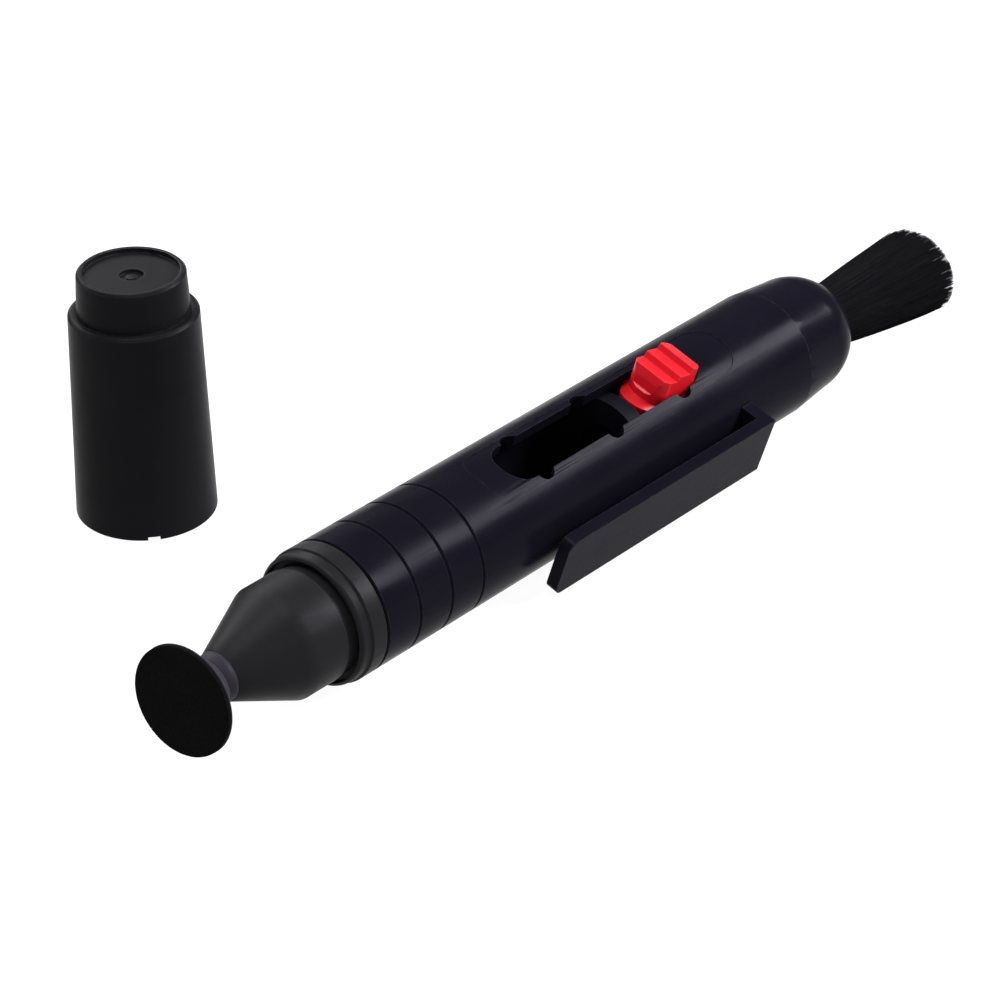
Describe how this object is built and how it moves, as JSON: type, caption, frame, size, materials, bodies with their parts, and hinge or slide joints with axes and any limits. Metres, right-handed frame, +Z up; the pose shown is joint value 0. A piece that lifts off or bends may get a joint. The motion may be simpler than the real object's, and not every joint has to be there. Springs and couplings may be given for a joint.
{
  "type": "lens cleaning pen",
  "caption": "Pen-shaped lens cleaner with a flared cleaning tip on a flexible neck, a slide-out dusting brush, a pocket clip and a separate stepped cap.",
  "frame": {"origin": "under the middle of the whole object's box, on the surface that the pen lies on and the cap stands on", "axes": "+X along the pen from the cleaning tip to the brush, +Z up, +Y from the pen to the standing cap"},
  "size_m": [0.121, 0.0554, 0.028],
  "materials": {
    "barrel_plastic": "satin-gloss moulded black with a slight violet cast",
    "nose_plastic": "fine matte dark grey",
    "tip_rubber": "soft matte elastomer",
    "pad_suede": "carbon-coated suede",
    "inner_plastic": "moulded black",
    "button_red": "glossy bright red",
    "spring_steel": "bright spring strip",
    "ferrule_metal": "drawn tube",
    "bristle_black": "soft black hair",
    "cap_plastic": "satin black with lighter worn rims",
    "foam_carbon": "carbon-loaded foam"
  },
  "bodies": {
    "pen": {"barrel": "barrel_plastic", "tail_cone": "barrel_plastic", "nose_collar": "nose_plastic", "nose_cone": "nose_plastic"},
    "brush": {"brush_carrier": "inner_plastic", "brush_ferrule": "ferrule_metal", "bristle_tuft": "bristle_black", "detent_spring": "spring_steel"},
    "button": {"slider_button": "button_red"},
    "clip": {"pocket_clip": "barrel_plastic"},
    "tip": {"tip_stem": "tip_rubber", "tip_pad": "pad_suede"},
    "cap": {"cap_sleeve": "cap_plastic", "cap_core": "cap_plastic", "cap_foam": "foam_carbon"}
  },
  "joints": [
    {"name": "brush_slide", "type": "slide", "parent": "pen", "child": "brush", "axis": [-1, 0, 0], "range_m": [0, 0.022], "deforming": ["bristle_tuft"]},
    {"name": "button_press", "type": "slide", "parent": "brush", "child": "button", "axis": [0, 0.3173, -0.9483], "range_m": [0, 0.0005], "stiffness_N_per_m": 300, "deforming": ["detent_spring"]},
    {"name": "clip_flex", "type": "hinge", "parent": "pen", "child": "clip", "pos_m": [0.01754, -0.02415, 0.0049], "axis": [0, -0.3173, 0.9483], "range_deg": [0, 4], "stiffness_Nm_per_rad": 0.75},
    {"name": "tip_flex", "type": "hinge", "parent": "pen", "child": "tip", "pos_m": [-0.05406, -0.01714, 0.00725], "axis": [0, 0.6015, 0.7989], "range_deg": [-15, 2.5], "stiffness_Nm_per_rad": 0.02},
    {"name": "cap_lift", "type": "slide", "parent": "pen", "child": "cap", "axis": [0, 0, 1], "range_m": [0, 0.05]}
  ]
}
